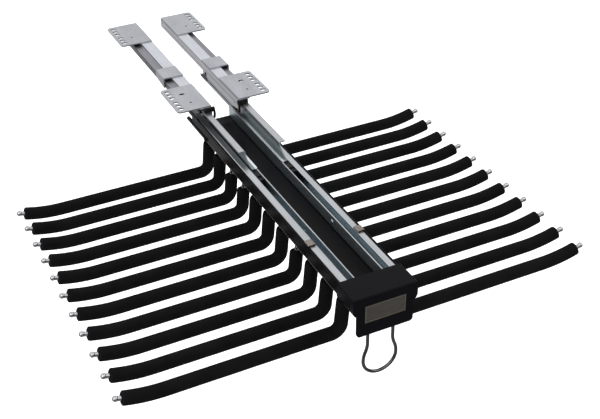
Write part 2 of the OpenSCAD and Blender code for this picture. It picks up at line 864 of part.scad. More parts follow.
// Pull handle: one wire whose legs curve out into a round loop
module handle_side() {
    loop_r = handle_loop_w / 2;
    neck_turn = 2 * atan((loop_r - handle_legs / 2) / handle_neck);
    neck_r = handle_neck / 2 / sin(neck_turn);
    upright_l = channel_bottom_z + handle_grip - loop_z - handle_neck;
    translate([loop_r, 0, 0]) translate([-neck_r, 0, 0]) {
        difference() {
            bar_bend(neck_r, handle_d, 90);
            rotate([0, -neck_turn, 0]) above(2 * neck_r);
        }
        rotate([0, -neck_turn, 0]) translate([neck_r, 0, 0]) translate([neck_r, 0, 0]) {
            difference() {
                rotate([0, neck_turn, 0]) rotate([0, 180, 0]) bar_bend(neck_r, handle_d, 90);
                mirror([0, 0, 1]) above(2 * neck_r);
            }
            rotate([0, neck_turn, 0]) translate([-neck_r, 0, 0])
                cylinder(d = handle_d, h = upright_l);
        }
    }
}

module pull_handle() {
    color("gainsboro") translate([0, handle_y, loop_z]) {
        both_sides() handle_side();
        rotate([0, 180, 0]) bar_bend(handle_loop_w / 2, handle_d, 180);
    }
}

// Rear cap: a plastic frame on the channel's rear end with guide arms and buffers
module rear_cap() {
    rear = channel_rear_y + rear_cap_l;
    arm_z = carriage_z + rear_arm_rise;
    buffer_x = channel_w / 2 - channel_wall / 2;
    buffer_z = carriage_z - buffer_drop;
    color("#1c1c1e") {
        along_y(channel_rear_y, rear) difference() {
            channel_outline();
            span(-drawer_outer_x, drawer_bottom_z, drawer_outer_x, carriage_z + cut);
        }
        both_sides() {
            translate([drawer_outer_x, channel_rear_y, arm_z - rear_arm_h])
                cube([channel_wall, rear_cap_l + rear_arm_l, rear_arm_h]);
            translate([buffer_x, drawer_rear_y + play, buffer_z]) rotate([-90, 0, 0])
                cylinder(d = buffer_d, h = rear - drawer_rear_y - play + buffer_l);
            translate([channel_w / 2, channel_rear_y - strap_l, buffer_z - strap_h / 2])
                cube([strap_t, strap_l + rear_cap_l, strap_h]);
            translate([channel_w / 2, channel_rear_y - strap_l + nib_d, buffer_z])
                rotate([0, 90, 0]) cylinder(d = nib_d, h = nib_l);
        }
    }
}

// Clamp strip and screws: they hold the rods up in the grooves of the channel
module clamp_strip() {
    front = channel_front_y + strip_margin;
    rear = rod_y(rod_count - 1) + row_inset;
    color("dimgray") difference() {
        translate([-clamp_x, front, channel_bottom_z - strip_t])
            cube([2 * clamp_x, rear - front, strip_t]);
        rod_grooves();
        screw_places() translate([0, 0, -strip_t - cut])
            cylinder(d = screw_d, h = strip_t + 2 * cut);
    }
}

module screw_places() {
    for (i = [0 : screw_step : rod_count - 2])
        translate([0, between_rods_y(i), channel_bottom_z]) children();
}

module clamp_screws() {
    color("silver") screw_places() {
        translate([0, 0, -strip_t]) cylinder(d = screw_d, h = strip_t + screw_grip);
        translate([0, 0, -strip_t - screw_head_h]) cylinder(d = screw_head_d, h = screw_head_h);
    }
}

// Arms: a cross bar, a bend, a leaning leg, a bend at its foot, a straight run and a curved tip
cross_half = leg_span / 2 - cross_bend_r;
leg_l = (arm_drop - cross_bend_r - foot_bend_r + (cross_bend_r + foot_bend_r) * sin(leg_lean))
    / cos(leg_lean);
foot_x = cross_half + (cross_bend_r + foot_bend_r) * cos(leg_lean) + leg_l * sin(leg_lean);
run_l = rod_span / 2 - tip_l - foot_x;
tip_r = (tip_l * tip_l + tip_rise * tip_rise) / (2 * tip_rise);
tip_turn = 2 * atan(tip_rise / tip_l);

// Places its children in the frame of the bend at the foot, with Z along the leg
module at_foot() {
    translate([cross_half, 0, channel_bottom_z - cross_bend_r]) rotate([0, -leg_lean, 0])
        translate([cross_bend_r, 0, 0]) translate([0, 0, -leg_l]) translate([foot_bend_r, 0, 0])
            children();
}

// One leg and its arm, as a bar of the given diameter; each end can stop short
module arm(d, bare_leg, bare_angle) {
    at_foot() {
        translate([-foot_bend_r, 0, 0]) cylinder(d = d, h = leg_l - bare_leg);
        rotate([0, 180, 0]) bar_bend(foot_bend_r, d, 90 - leg_lean);
        rotate([0, leg_lean, 0]) translate([0, 0, -foot_bend_r]) {
            rotate([0, 90, 0]) cylinder(d = d, h = run_l);
            translate([run_l, 0, 0]) translate([0, 0, tip_r]) rotate([0, 90, 0])
                bar_bend(tip_r, d, tip_turn - bare_angle);
        }
    }
}

// Hanging rods: each is one bent bar with a ball on both ends
module arm_rod(i) {
    color("gainsboro") translate([0, rod_y(i), 0]) {
        both_sides() {
            translate([cross_half, 0, channel_bottom_z - cross_bend_r]) rotate([0, -leg_lean, 0])
                bar_bend(cross_bend_r, rod_d, 90 - leg_lean);
            arm(rod_d, 0, 0);
            at_foot() rotate([0, leg_lean, 0])
                translate([run_l + tip_l, 0, tip_rise - foot_bend_r]) sphere(d = ball_d);
        }
        translate([-cross_half, 0, channel_bottom_z]) rotate([0, 90, 0])
            cylinder(d = rod_d, h = 2 * cross_half);
    }
}

// The start of the bend that leads from a leg into the cross bar
module shoulder(d, turn) {
    at_foot() translate([-foot_bend_r, 0, 0]) translate([0, 0, leg_l])
        translate([-cross_bend_r, 0, 0]) bar_bend(cross_bend_r, d, turn);
}

// Foam sleeves: one on each arm of a rod; a few have slid down and leave the leg's top bare
module arm_sleeves(i) {
    bare = len(search(i, bare_legs)) > 0;
    color("#1a1a1a") translate([0, rod_y(i), 0]) both_sides() difference() {
        union() {
            arm(sleeve_d, bare ? sleeve_bare : 0, tip_bare / tip_r * 180 / PI);
            if (!bare) shoulder(sleeve_d, sleeve_wrap);
        }
        arm(rod_d, 0, 0);
        shoulder(rod_d, 90 - leg_lean);
    }
}

cabinet_rail("left");  // cabinet_rail_left
cabinet_rail("right");  // cabinet_rail_right
front_plate("left");  // front_plate_left
front_plate("right");  // front_plate_right
rear_plate("left");  // rear_plate_left
rear_plate("right");  // rear_plate_right
bridge_plates();
front_guide("left");  // front_guide_left
front_guide("right");  // front_guide_right
catch_hooks();
intermediate_rail("left");  // intermediate_rail_left
intermediate_rail("right");  // intermediate_rail_right
nose_guide("left");  // nose_guide_left
nose_guide("right");  // nose_guide_right
upper_roller_cage("left");  // upper_roller_cage_left
upper_roller_cage("right");  // upper_roller_cage_right
lower_roller_cage("left");  // lower_roller_cage_left
lower_roller_cage("right");  // lower_roller_cage_right
upper_roller("left", 0);  // upper_front_roller_left
upper_roller("left", 1);  // upper_rear_roller_left
upper_roller("right", 0);  // upper_front_roller_right
upper_roller("right", 1);  // upper_rear_roller_right
lower_roller("left", 0);  // lower_front_roller_left
lower_roller("left", 1);  // lower_rear_roller_left
lower_roller("right", 0);  // lower_front_roller_right
lower_roller("right", 1);  // lower_rear_roller_right
carriage_channel();
drawer_rail("left");  // drawer_rail_left
drawer_rail("right");  // drawer_rail_right
rail_rivets();
stop_clips();
front_cap();
badge_plate();
pull_handle();
rear_cap();
clamp_strip();
clamp_screws();
for (i = [0 : rod_count - 1]) {
    arm_rod(i);
    arm_sleeves(i);
}
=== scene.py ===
# %% [markdown]
# # A pull-out trouser rack
# The rack hangs under a wardrobe shelf. Four slotted plates are screwed to the shelf, two steel
# rails hang from them, and a black channel with eleven sleeved rods rolls out on roller slides.
# The construction comes from the CAD frame. Here every surface gets its finish, and the parts
# whose real shape is softer than a CAD solid are modelled again: the foam sleeves and the screws.
# %% Load the frame and note its size
import math

import bmesh
import bpy
from mathutils import Matrix, Vector


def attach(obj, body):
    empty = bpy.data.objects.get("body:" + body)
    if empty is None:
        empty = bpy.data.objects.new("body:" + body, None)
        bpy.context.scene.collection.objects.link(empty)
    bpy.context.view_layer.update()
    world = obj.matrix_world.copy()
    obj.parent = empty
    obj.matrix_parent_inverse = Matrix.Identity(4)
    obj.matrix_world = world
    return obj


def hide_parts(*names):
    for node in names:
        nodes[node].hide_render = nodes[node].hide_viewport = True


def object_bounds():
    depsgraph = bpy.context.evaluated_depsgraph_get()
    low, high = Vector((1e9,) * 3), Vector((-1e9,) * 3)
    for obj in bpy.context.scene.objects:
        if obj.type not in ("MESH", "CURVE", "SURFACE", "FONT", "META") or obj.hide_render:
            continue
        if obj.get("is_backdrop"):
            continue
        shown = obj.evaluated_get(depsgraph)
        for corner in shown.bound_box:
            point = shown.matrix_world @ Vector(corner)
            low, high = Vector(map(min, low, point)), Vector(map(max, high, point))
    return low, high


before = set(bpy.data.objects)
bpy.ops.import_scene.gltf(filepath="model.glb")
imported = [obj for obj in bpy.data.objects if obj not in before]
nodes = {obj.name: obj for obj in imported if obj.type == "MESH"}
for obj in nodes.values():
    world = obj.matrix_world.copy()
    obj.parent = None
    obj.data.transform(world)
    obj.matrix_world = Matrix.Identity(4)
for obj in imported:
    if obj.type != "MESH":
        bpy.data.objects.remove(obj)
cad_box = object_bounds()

MM = 0.001
ROD_COUNT = len([name for name in nodes if name.startswith("arm_rod_")])
print("nodes", len(nodes), "rods", ROD_COUNT)
for corner in cad_box:
    print("box corner", [round(v, 4) for v in corner])

# %% [markdown]
# ## Camera
# The photograph looks down on the rack from its front left. Its position, angles and focal length
# were worked out from the rod ends and plates, so a perspective camera with these values gives the
# same view. The render's frame is 600 by 419, and the sensor width belongs to its long side.
# Three matrices turn the camera, so yaw, pitch and roll stay apart, as they were measured. The
# Standard view keeps the white ground white.
# %% Camera
CAMERA_PLACE = (-0.4110, -1.0656, 0.5928)
YAW, PITCH, ROLL = math.radians(-25.852), math.radians(33.615), math.radians(-0.868)
scene = bpy.context.scene
lens = bpy.data.cameras.new("photo_camera")
lens.lens = 67.19
lens.sensor_width = 36.0
lens.sensor_fit = "HORIZONTAL"
lens.clip_start = 0.01
lens.clip_end = 50.0
camera = bpy.data.objects.new("photo_camera", lens)
scene.collection.objects.link(camera)
turn = (Matrix.Rotation(YAW, 4, "Z") @ Matrix.Rotation(math.pi / 2 - PITCH, 4, "X")
        @ Matrix.Rotation(ROLL, 4, "Z"))
camera.matrix_world = Matrix.Translation(Vector(CAMERA_PLACE)) @ turn
scene.camera = camera
scene.view_settings.view_transform = "Standard"
print("camera", CAMERA_PLACE, "lens", round(lens.lens, 2))

# %% [markdown]
# ## Helpers for materials
# A material here is a small tree of nodes. An image could carry the same marks, but it would need
# an unwrapped mesh and a file. Noise on object coordinates needs neither, and it stays on the
# piece when the slide moves. The first helpers add a node, start a material with plain values and
# join the finished colour, roughness and relief to its shader.
# %% Start a material and join it up
def add(tree, kind, at=(0, 0), **settings):
    """Adds a node; each setting is a property of the node."""
    node = tree.nodes.new(kind)
    node.location = at
    for key, value in settings.items():
        setattr(node, key, value)
    return node


def start_material(name, colour, metallic, roughness):
    """A new material with a plain shader; returns the material, its tree and the shader."""
    material = bpy.data.materials.new(name)
    material.use_nodes = True
    tree = material.node_tree
    shader = tree.nodes["Principled BSDF"]
    shader.inputs["Base Color"].default_value = (*colour, 1)
    shader.inputs["Metallic"].default_value = metallic
    shader.inputs["Roughness"].default_value = roughness
    material.diffuse_color = (*colour, 1)
    return material, tree, shader


def set_surface(tree, shader, colour, roughness, relief):
    """Joins a colour, a roughness and a relief to the shader."""
    for name, output in (("Base Color", colour), ("Roughness", roughness), ("Normal", relief)):
        tree.links.new(output, shader.inputs[name])


print("helpers", add.__name__, start_material.__name__, set_surface.__name__)

# %% [markdown]
# Patterns come from noise. Its scale says how fine it is, and stretched coordinates turn its
# clouds into lines. A colour ramp then turns the pattern into colours, and a map range turns it
# into numbers, such as a roughness.
# %% Patterns
def coordinates(tree, scale):
    """Object coordinates, stretched by a scale for each axis."""
    place = add(tree, "ShaderNodeTexCoord", (-1400, 0))
    mapping = add(tree, "ShaderNodeMapping", (-1200, 0))
    mapping.inputs["Scale"].default_value = scale
    tree.links.new(place.outputs["Object"], mapping.inputs["Vector"])
    return mapping.outputs["Vector"]


def noise(tree, vector, scale, detail=3.0, rough=0.5, at=(-1000, 0)):
    """A cloud of values around 0.5; a larger scale makes it finer."""
    node = add(tree, "ShaderNodeTexNoise", at)
    node.inputs["Scale"].default_value = scale
    node.inputs["Detail"].default_value = detail
    node.inputs["Roughness"].default_value = rough
    tree.links.new(vector, node.inputs["Vector"])
    return node.outputs["Fac"]


def ramp(tree, factor, stops, at=(-700, 200)):
    """A colour ramp; stops are (place, colour) pairs."""
    node = add(tree, "ShaderNodeValToRGB", at)
    band = node.color_ramp
    while len(band.elements) < len(stops):
        band.elements.new(0.5)
    for element, (place, colour) in zip(band.elements, stops):
        element.position = place
        element.color = (*colour, 1)
    tree.links.new(factor, node.inputs["Fac"])
    return node.outputs["Color"]


def spread(tree, factor, low, high, at=(-700, -100)):
    """Maps a factor from 0..1 to low..high."""
    node = add(tree, "ShaderNodeMapRange", at)
    node.inputs["To Min"].default_value = low
    node.inputs["To Max"].default_value = high
    tree.links.new(factor, node.inputs["Value"])
    return node.outputs["Result"]


print("patterns", coordinates.__name__, noise.__name__, ramp.__name__, spread.__name__)

# %% [markdown]
# Relief changes how a surface answers light without moving it. A bump node reads it from a
# pattern. A bevel node rounds the light over sharp edges, as sheet metal and mouldings have no
# knife edges. Real bevels would change the CAD meshes, which stay as they are.
# %% Relief
EDGE_SAMPLES = 6


def bump(tree, height, strength, depth, normal=None, at=(-300, -300)):
    """Relief from a pattern, on top of another relief where one is given."""
    node = add(tree, "ShaderNodeBump", at)
    node.inputs["Strength"].default_value = strength
    node.inputs["Distance"].default_value = depth
    tree.links.new(height, node.inputs["Height"])
    if normal is not None:
        tree.links.new(normal, node.inputs["Normal"])
    return node.outputs["Normal"]


def soft_edges(tree, radius, at=(-700, -500)):
    """Normals rounded over the edges, with a radius in metres."""
    node = add(tree, "ShaderNodeBevel", at, samples=EDGE_SAMPLES)
    node.inputs["Radius"].default_value = radius
    return node.outputs["Normal"]


print("relief", bump.__name__, soft_edges.__name__)

# %% [markdown]
# Some colours change from place to place on one piece; here the zones paint shade and highlights
# onto it. The mesh could be split and given several materials, but a mask keeps the piece whole. A
# zone is a list of limits and a tint. Each limit is an axis, a place in metres and the width of
# its soft edge, and the zone is where all of them hold. A plus sign takes the axis without its
# sign, for both slides, and a negative width turns the limit round. The Mix node has several
# sockets of one name, so its colours go by number.
# %% Masks and zones
COLOUR_A, COLOUR_B, COLOUR_OUT = 6, 7, 2


def beyond(tree, axis, edge, width, at=(-1000, -600), mirrored=False):
    """A mask that rises from 0 to 1 where an object coordinate passes an edge."""
    place = add(tree, "ShaderNodeTexCoord", (at[0] - 400, at[1]))
    parts = add(tree, "ShaderNodeSeparateXYZ", (at[0] - 200, at[1]))
    tree.links.new(place.outputs["Object"], parts.inputs["Vector"])
    value = parts.outputs[axis]
    if mirrored:
        size = add(tree, "ShaderNodeMath", (at[0] - 100, at[1]), operation="ABSOLUTE")
        tree.links.new(value, size.inputs[0])
        value = size.outputs[0]
    step = add(tree, "ShaderNodeMapRange", at)
    step.inputs["From Min"].default_value = edge - width / 2
    step.inputs["From Max"].default_value = edge + width / 2
    tree.links.new(value, step.inputs["Value"])
    return step.outputs["Result"]


def tinted(tree, colour, mask, tint, at=(-450, 200)):
    """Multiplies a colour by a tint where the mask is 1."""
    node = add(tree, "ShaderNodeMix", at, data_type="RGBA", blend_type="MULTIPLY")
    tree.links.new(mask, node.inputs["Factor"])
    tree.links.new(colour, node.inputs[COLOUR_A])
    node.inputs[COLOUR_B].default_value = (*tint, 1)
    return node.outputs[COLOUR_OUT]


def zoned(tree, colour, zones):
    """Tints a colour in each zone in turn."""
    for row, (limits, tint) in enumerate(zones):
        mask = None
        at = (-1000, -600 - 250 * row)
        for axis, place, width in limits:
            side = beyond(tree, axis[-1], place, width, at, mirrored=axis[0] == "+")
            if mask is not None:
                both = add(tree, "ShaderNodeMath", (-800, at[1]), operation="MULTIPLY")
                tree.links.new(mask, both.inputs[0])
                tree.links.new(side, both.inputs[1])
                side = both.outputs[0]
            mask = side
        colour = tinted(tree, colour, mask, tint, (-450 + 170 * row, 350))
    return colour


print("masks", beyond.__name__, tinted.__name__, zoned.__name__)

# %% [markdown]
# ## Plated steel
# Zinc-plated sheet is grey and satin. Rolling leaves fine lines along the strip, and the bath
# leaves faint cloudy patches, so two noises are mixed half and half: one stretched along the rail,
# one cloudy. The same mixture drives the colour and the roughness, because a dull patch is dull in
# both. The rivets, clips and hooks are done first.
# %% Recipe for plated steel
ALONG_THE_STRIP, CLOUDS, NO_LINES = (900, 12, 900), (60, 25, 60), (420, 420, 420)


def plated_steel(name, dark, light, smooth, dull, zones=(), lines=ALONG_THE_STRIP):
    """Zinc-plated steel between two greys and two roughnesses."""
    material, tree, shader = start_material(name, light, 1.0, smooth)
    streaks = noise(tree, coordinates(tree, lines), 1.0, detail=2.0, rough=0.6, at=(-1000, 100))
    clouds = noise(tree, coordinates(tree, CLOUDS), 1.0, detail=3.0, rough=0.55,
                   at=(-1000, -200))
    half = add(tree, "ShaderNodeMath", (-930, -120), operation="MULTIPLY")
    half.inputs[1].default_value = 0.5
    tree.links.new(clouds, half.inputs[0])
    mixed = add(tree, "ShaderNodeMath", (-850, 0), operation="MULTIPLY_ADD")
    mixed.inputs[1].default_value = 0.5
    tree.links.new(streaks, mixed.inputs[0])
    tree.links.new(half.outputs[0], mixed.inputs[2])
    colour = ramp(tree, mixed.outputs[0], [(0.32, dark), (0.66, light)])
    relief = bump(tree, streaks, 0.12, 0.00003, soft_edges(tree, 0.00025))
    set_surface(tree, shader, zoned(tree, colour, zones),
                spread(tree, mixed.outputs[0], dull, smooth), relief)
    return material


fastener_steel = plated_steel(
    "fastener_steel", (0.50, 0.51, 0.53), (0.68, 0.69, 0.71), smooth=0.25, dull=0.4)
clip_steel = plated_steel(
    "clip_steel", (0.24, 0.205, 0.18), (0.37, 0.325, 0.295), smooth=0.32, dull=0.45)
hook_steel = plated_steel(
    "hook_steel", (0.07, 0.07, 0.075), (0.13, 0.13, 0.135), smooth=0.3, dull=0.45)
print("small parts", fastener_steel.name, clip_steel.name, hook_steel.name)

# %% [markdown]
# The plates are a little duller than the rolled rails and have no rolling lines. A faint painted
# highlight marks the bend over the rail, and the holes are painted dark inside, as painted shade,
# since their walls see little light.
# %% Zinc sheet of the plates
# SHADE is a tint for painted shade: inside the holes, and on the rail shelf under the plates.
SHADE = (0.12, 0.12, 0.12)
RIM_SOFT, RIM_DEPTH, PILOT_R = 0.0002, 0.0003, 0.0015


def well(x, y, half_x, half_y):
    """Limits that hold the walls of a hole in a plate, below its rim."""
    return [("+X", x - half_x, RIM_SOFT), ("+X", x + half_x, -RIM_SOFT),
            ("Y", y - half_y, RIM_SOFT), ("Y", y + half_y, -RIM_SOFT),
            ("Z", -RIM_DEPTH, -RIM_SOFT)]


# Painted highlight: a faint lighter line along the bend over the rail. The holes get painted shade
# inside.
bend_highlight = [("+X", 0.0437, 0.0002), ("+X", 0.0442, -0.0002)]
key_hole = well(0.0366, 0.0103, 0.0034, 0.0019)
front_pilot = well(0.0347, -0.0123, PILOT_R, PILOT_R)
rear_pilot = well(0.0361, 0.182, PILOT_R, PILOT_R)
zinc_sheet = plated_steel(
    "zinc_sheet", (0.44, 0.45, 0.475), (0.56, 0.575, 0.605), smooth=0.4, dull=0.58,
    zones=[(bend_highlight, (1.12, 1.12, 1.12)), (key_hole, SHADE), (front_pilot, SHADE),
           (rear_pilot, SHADE)], lines=NO_LINES)
print("plates", zinc_sheet.name)

# %% [markdown]
# The fixed rails are bright on the crown. Painted shade makes them darker on the web and darker
# still on the shelf beside the crown and on the outer wall. A painted dark line of shade runs in
# the crease along the web, and under the plates the shelf lies in deep painted shade.
# %% Steel of the fixed rails
# Painted shade: the web, the shelf beside the crown and the outer wall are tinted darker than the
# crown, and a dark line is painted in the crease along the web.
SIDE_SHADE = (0.5, 0.5, 0.51)
web = [("Z", -0.0031, -0.0006)]
crease_shade = [("Z", -0.0017, -0.0002), ("Z", -0.0025, 0.0002)]
outer_half = ("+X", 0.0318, 0.0006)
outer_wall = [("+X", 0.0396, 0.0004)]
shelf = [outer_half, ("+X", 0.0388, -0.0004), ("Z", -0.0052, 0.0004)]
shelf_under_front_plate = shelf + [("Y", 0.0285, -0.002)]
shelf_under_rear_plate = shelf + [("Y", 0.164, 0.002)]
rail_steel = plated_steel(
    "rail_steel", (0.60, 0.62, 0.65), (0.72, 0.74, 0.78), smooth=0.3, dull=0.45,
    zones=[(web, (0.90, 0.88, 0.87)), (crease_shade, (0.5, 0.5, 0.5)), ([outer_half], SIDE_SHADE),
           (outer_wall, SIDE_SHADE), (shelf_under_front_plate, SHADE),
           (shelf_under_rear_plate, SHADE)])
print("fixed rails", rail_steel.name)

# %% [markdown]
# The drawer rails get a bluish painted shade on the inside, below their top strips, and a painted
# lighter band on the inside wall that faces the trough. The intermediate rails get a dark
# green-grey painted shade under the top flange once they are out in front of the plates, and
# their dust lip gets a painted highlight along its edge.
# %% Steel of the sliding rails
# Painted shade: the drawer rails' inside is tinted darker and bluish, and a painted lighter band
# lies on the inside wall that faces the trough.
inside = ("Z", -0.0214, -0.0006)
trough_side = ("+X", 0.0146, -0.0004)
drawer_steel = plated_steel(
    "drawer_steel", (0.46, 0.478, 0.492), (0.57, 0.593, 0.607), smooth=0.3, dull=0.42,
    zones=[([inside], (0.78, 0.90, 0.94)), ([inside, trough_side], (1.35, 1.3, 1.28))])
# Painted shade: the intermediate rails are tinted dark green-grey under the top flange, out in
# front of the plates.
under_flange = ("Z", -0.0078, -0.0006)
out_front = ("Y", -0.03, -0.004)
# Painted highlight along the dust lip's edge, out in front of the plates.
lip_highlight = [("+X", 0.0168, -0.0006), ("Z", -0.0190, -0.0002), ("Z", -0.0204, 0.0002)]
middle_steel = plated_steel(
    "middle_steel", (0.44, 0.45, 0.46), (0.56, 0.57, 0.58), smooth=0.3, dull=0.42,
    zones=[([under_flange, out_front], (0.46, 0.52, 0.53)),
           (lip_highlight + [out_front], (3.5, 3.2, 3.15))])
print("sliding rails", drawer_steel.name, middle_steel.name)

# %% [markdown]
# ## Black parts
# Black anodised aluminium and black mouldings are both near black, but they answer light in their
# own way: the extrusion keeps fine drawing lines along its length, the moulding has a fine grain.
# A low specular level keeps both of them black under the large lamps. Along the extrusion's lower
# edges a thin pale line is painted in, a painted highlight.
# %% Black anodised aluminium
DRAWING_LINES = (1400, 6, 1400)


def anodised(name, colour, rough, shine, zones=()):
    """Black anodised aluminium, drawn along Y."""
    material, tree, shader = start_material(name, colour, 0.0, rough)
    shader.inputs["Specular IOR Level"].default_value = shine
    lines = noise(tree, coordinates(tree, DRAWING_LINES), 1.0, detail=2.0, rough=0.5)
    pale = tuple(1.6 * part for part in colour)
    drawn = ramp(tree, lines, [(0.35, colour), (0.75, pale)])
    relief = bump(tree, lines, 0.15, 0.00002, soft_edges(tree, 0.0003))
    set_surface(tree, shader, zoned(tree, drawn, zones),
                spread(tree, lines, rough - 0.05, rough + 0.1), relief)
    return material


# Painted highlight: a thin pale line along the extrusion's lower outer edges.
lower_edge_highlight = [("+X", 0.028, 0.0002), ("Z", -0.0351, -0.0003), ("Z", -0.0362, 0.0003)]
channel_black = anodised("channel_black", (0.002, 0.0017, 0.0019), rough=0.3, shine=0.055,
                         zones=[(lower_edge_highlight, (75, 71, 66))])
print("aluminium", channel_black.name)

# %% Black and white mouldings
EVEN = (1, 1, 1)


def moulded(name, colour, rough, shine, edge=0.0003):
    """Moulded plastic with a fine grain and rounded edges."""
    material, tree, shader = start_material(name, colour, 0.0, rough)
    shader.inputs["Specular IOR Level"].default_value = shine
    vector = coordinates(tree, EVEN)
    fine = noise(tree, vector, 2600, detail=2.0, rough=0.6)
    broad = noise(tree, vector, 45, detail=2.0, rough=0.5, at=(-1000, -250))
    pale = tuple(min(1.0, 1.25 * part) for part in colour)
    relief = bump(tree, fine, 0.25, 0.00005, soft_edges(tree, edge))
    set_surface(tree, shader, ramp(tree, broad, [(0.3, colour), (0.8, pale)]),
                spread(tree, fine, rough - 0.06, rough + 0.08), relief)
    return material


cap_black = moulded("cap_black", (0.0022, 0.0022, 0.003), rough=0.32, shine=0.06, edge=0.0006)
guide_black = moulded("guide_black", (0.0045, 0.0045, 0.005), rough=0.42, shine=0.14)
roller_white = moulded("roller_white", (0.80, 0.80, 0.78), rough=0.35, shine=0.5)
print("plastics", cap_black.name, guide_black.name, roller_white.name)

# %% [markdown]
# ## Chrome
# The rods and the pull loop are polished and chromed. Chrome is a mirror, so most of what it shows
# is the studio round it; only faint buffing marks break the reflection up. The loop's chrome is
# given a darker tone than the rods', as painted shade for the dark surroundings it mirrors.
# %% Chrome finishes
BUFFING = (300, 300, 300)


def chromed(name, tone, smooth, dull):
    """Polished chrome with faint buffing marks."""
    material, tree, shader = start_material(name, tone, 1.0, smooth)
    marks = noise(tree, coordinates(tree, BUFFING), 1.0, detail=3.0, rough=0.6)
    darker = tuple(0.88 * part for part in tone)
    set_surface(tree, shader, ramp(tree, marks, [(0.3, darker), (0.7, tone)]),
                spread(tree, marks, smooth, dull), bump(tree, marks, 0.05, 0.00002))
    return material


rod_chrome = chromed("rod_chrome", (0.60, 0.605, 0.62), smooth=0.04, dull=0.12)
# The loop's darker tone is painted shade for the dark surroundings it mirrors.
loop_chrome = chromed("loop_chrome", (0.16, 0.162, 0.168), smooth=0.02, dull=0.05)
print("chrome", rod_chrome.name, loop_chrome.name)

# %% [markdown]
# ## Badge plate
# The badge plate is a dark bronze sheet brushed from side to side, so its noise is stretched along
# X. Its field is plain, and its raised rim is painted lighter, a painted highlight where it
# catches more light. The rim is the foremost part of the mesh, so a mask on Y finds it.
# %% Brushed bronze
SIDE_TO_SIDE, RIM_HEIGHT = (30, 1500, 2600), 0.00015
badge_bronze, tree, shader = start_material("badge_bronze", (0.11, 0.10, 0.085), 0.85, 0.4)
brush = noise(tree, coordinates(tree, SIDE_TO_SIDE), 1.0, detail=3.0, rough=0.6)
brushed = ramp(tree, brush, [(0.3, (0.085, 0.079, 0.067)), (0.7, (0.155, 0.145, 0.125))])
badge_front = min(v.co.y for v in nodes["badge_plate"].data.vertices)
# Painted highlight: the raised rim is tinted lighter.
rim = beyond(tree, "Y", badge_front + RIM_HEIGHT, -0.0001)
relief = bump(tree, brush, 0.2, 0.00003, soft_edges(tree, 0.0002))
set_surface(tree, shader, tinted(tree, brushed, rim, (1.5, 1.48, 1.42)),
            spread(tree, brush, 0.32, 0.5), relief)
print("badge front at", round(badge_front, 4))

# %% [markdown]
# ## Foam
# Foam rubber is matt and nearly black, with tiny cut cells all over. Two sizes of cells in the
# bump and a slow change of colour keep the long sleeves from looking like plastic pipe.
# %% Foam finish
foam, tree, shader = start_material("foam", (0.004, 0.004, 0.0045), 0.0, 0.9)
shader.inputs["Specular IOR Level"].default_value = 0.1
vector = coordinates(tree, EVEN)
cells = add(tree, "ShaderNodeTexVoronoi", (-1000, 200))
cells.inputs["Scale"].default_value = 1300
tree.links.new(vector, cells.inputs["Vector"])
slow = noise(tree, vector, 30, detail=3.0, rough=0.6, at=(-1000, -100))
pores = noise(tree, vector, 700, detail=2.0, rough=0.6, at=(-1000, -350))
shades = [(0.3, (0.0018, 0.0018, 0.002)), (0.75, (0.0046, 0.0046, 0.005))]
relief = bump(tree, pores, 0.25, 0.0001, bump(tree, cells.outputs["Distance"], 0.4, 0.0001),
              at=(-100, -300))
set_surface(tree, shader, ramp(tree, slow, shades), spread(tree, pores, 0.72, 0.92), relief)
print("materials so far", len(bpy.data.materials))

# %% [markdown]
# ## Dress the CAD nodes
# The CAD parts keep their shape and only change their material. All 59 nodes could be listed one
# by one, but a word in a node's name is enough to tell its finish. The list is read from the top,
# so the first word that fits counts.
# %% Give every node its finish
finish_of = [
    ("cabinet_rail", rail_steel), ("plate_left", zinc_sheet), ("plate_right", zinc_sheet),
    ("bridge_plates", zinc_sheet), ("front_guide", guide_black), ("catch_hooks", hook_steel),
    ("intermediate_rail", middle_steel), ("nose_guide", guide_black),
    ("roller_cage", guide_black), ("_roller_", roller_white), ("drawer_rail", drawer_steel),
    ("carriage_channel", channel_black), ("rail_rivets", fastener_steel),
    ("stop_clips", clip_steel), ("front_cap", cap_black), ("badge_plate", badge_bronze),
    ("pull_handle", loop_chrome), ("rear_cap", guide_black), ("clamp_strip", channel_black),
    ("clamp_screws", fastener_steel), ("arm_rod", rod_chrome), ("arm_sleeves", foam)]
for name, node in sorted(nodes.items()):
    finish = next(material for word, material in finish_of if word in name)
    node.data.materials.clear()
    node.data.materials.append(finish)
print("dressed", len(nodes), "nodes")

# %% [markdown]
# ## Foam sleeves
# A sleeve is a soft tube pulled over a bent rod. Its middle line could be drawn by eye, but it has
# to stay on the rod, so it repeats the rod's own route: down the leg, round the foot, out along
# the arm and up the curved tip. Three pairs have slid down and leave the rod bare at its top, so
# their line starts lower. These are the measures of the CAD rods.
# %% Measures of rods and sleeves, in millimetres
CHANNEL_FRONT, CHANNEL_BOTTOM = -366.0, -38.4
ROD_PITCH, ROW_INSET = 32.0, 7.7
FIRST_ROD = CHANNEL_FRONT + ROW_INSET

BEND_R = 7.2                 # upper bend, to the middle of the rod
FOOT_R = 10.5                # bend at the foot of a leg
LEAN = math.radians(5.4)     # the legs lean outwards
LEG_SPAN = 52.0              # between the two legs, at the channel
ARM_DROP = 38.3              # from the channel down to the straight arm
TIP_L, TIP_RISE = 46.4, 7.4  # length and rise of the curved tip
BALL_SPAN = 492.8            # between the balls at both ends

SLEEVE_D = 13.8
WRAP = math.radians(26)      # how far a sleeve wraps the upper bend
TIP_BARE = 6.0               # bare part before the ball
LEG_BARE = 3.2               # bare part of a leg whose sleeve has slid down
BARE_LEGS = (3, 7, 8)        # the rods with such sleeves, counted from 0
print("first rod at", FIRST_ROD, "last at", FIRST_ROD + ROD_PITCH * (ROD_COUNT - 1))

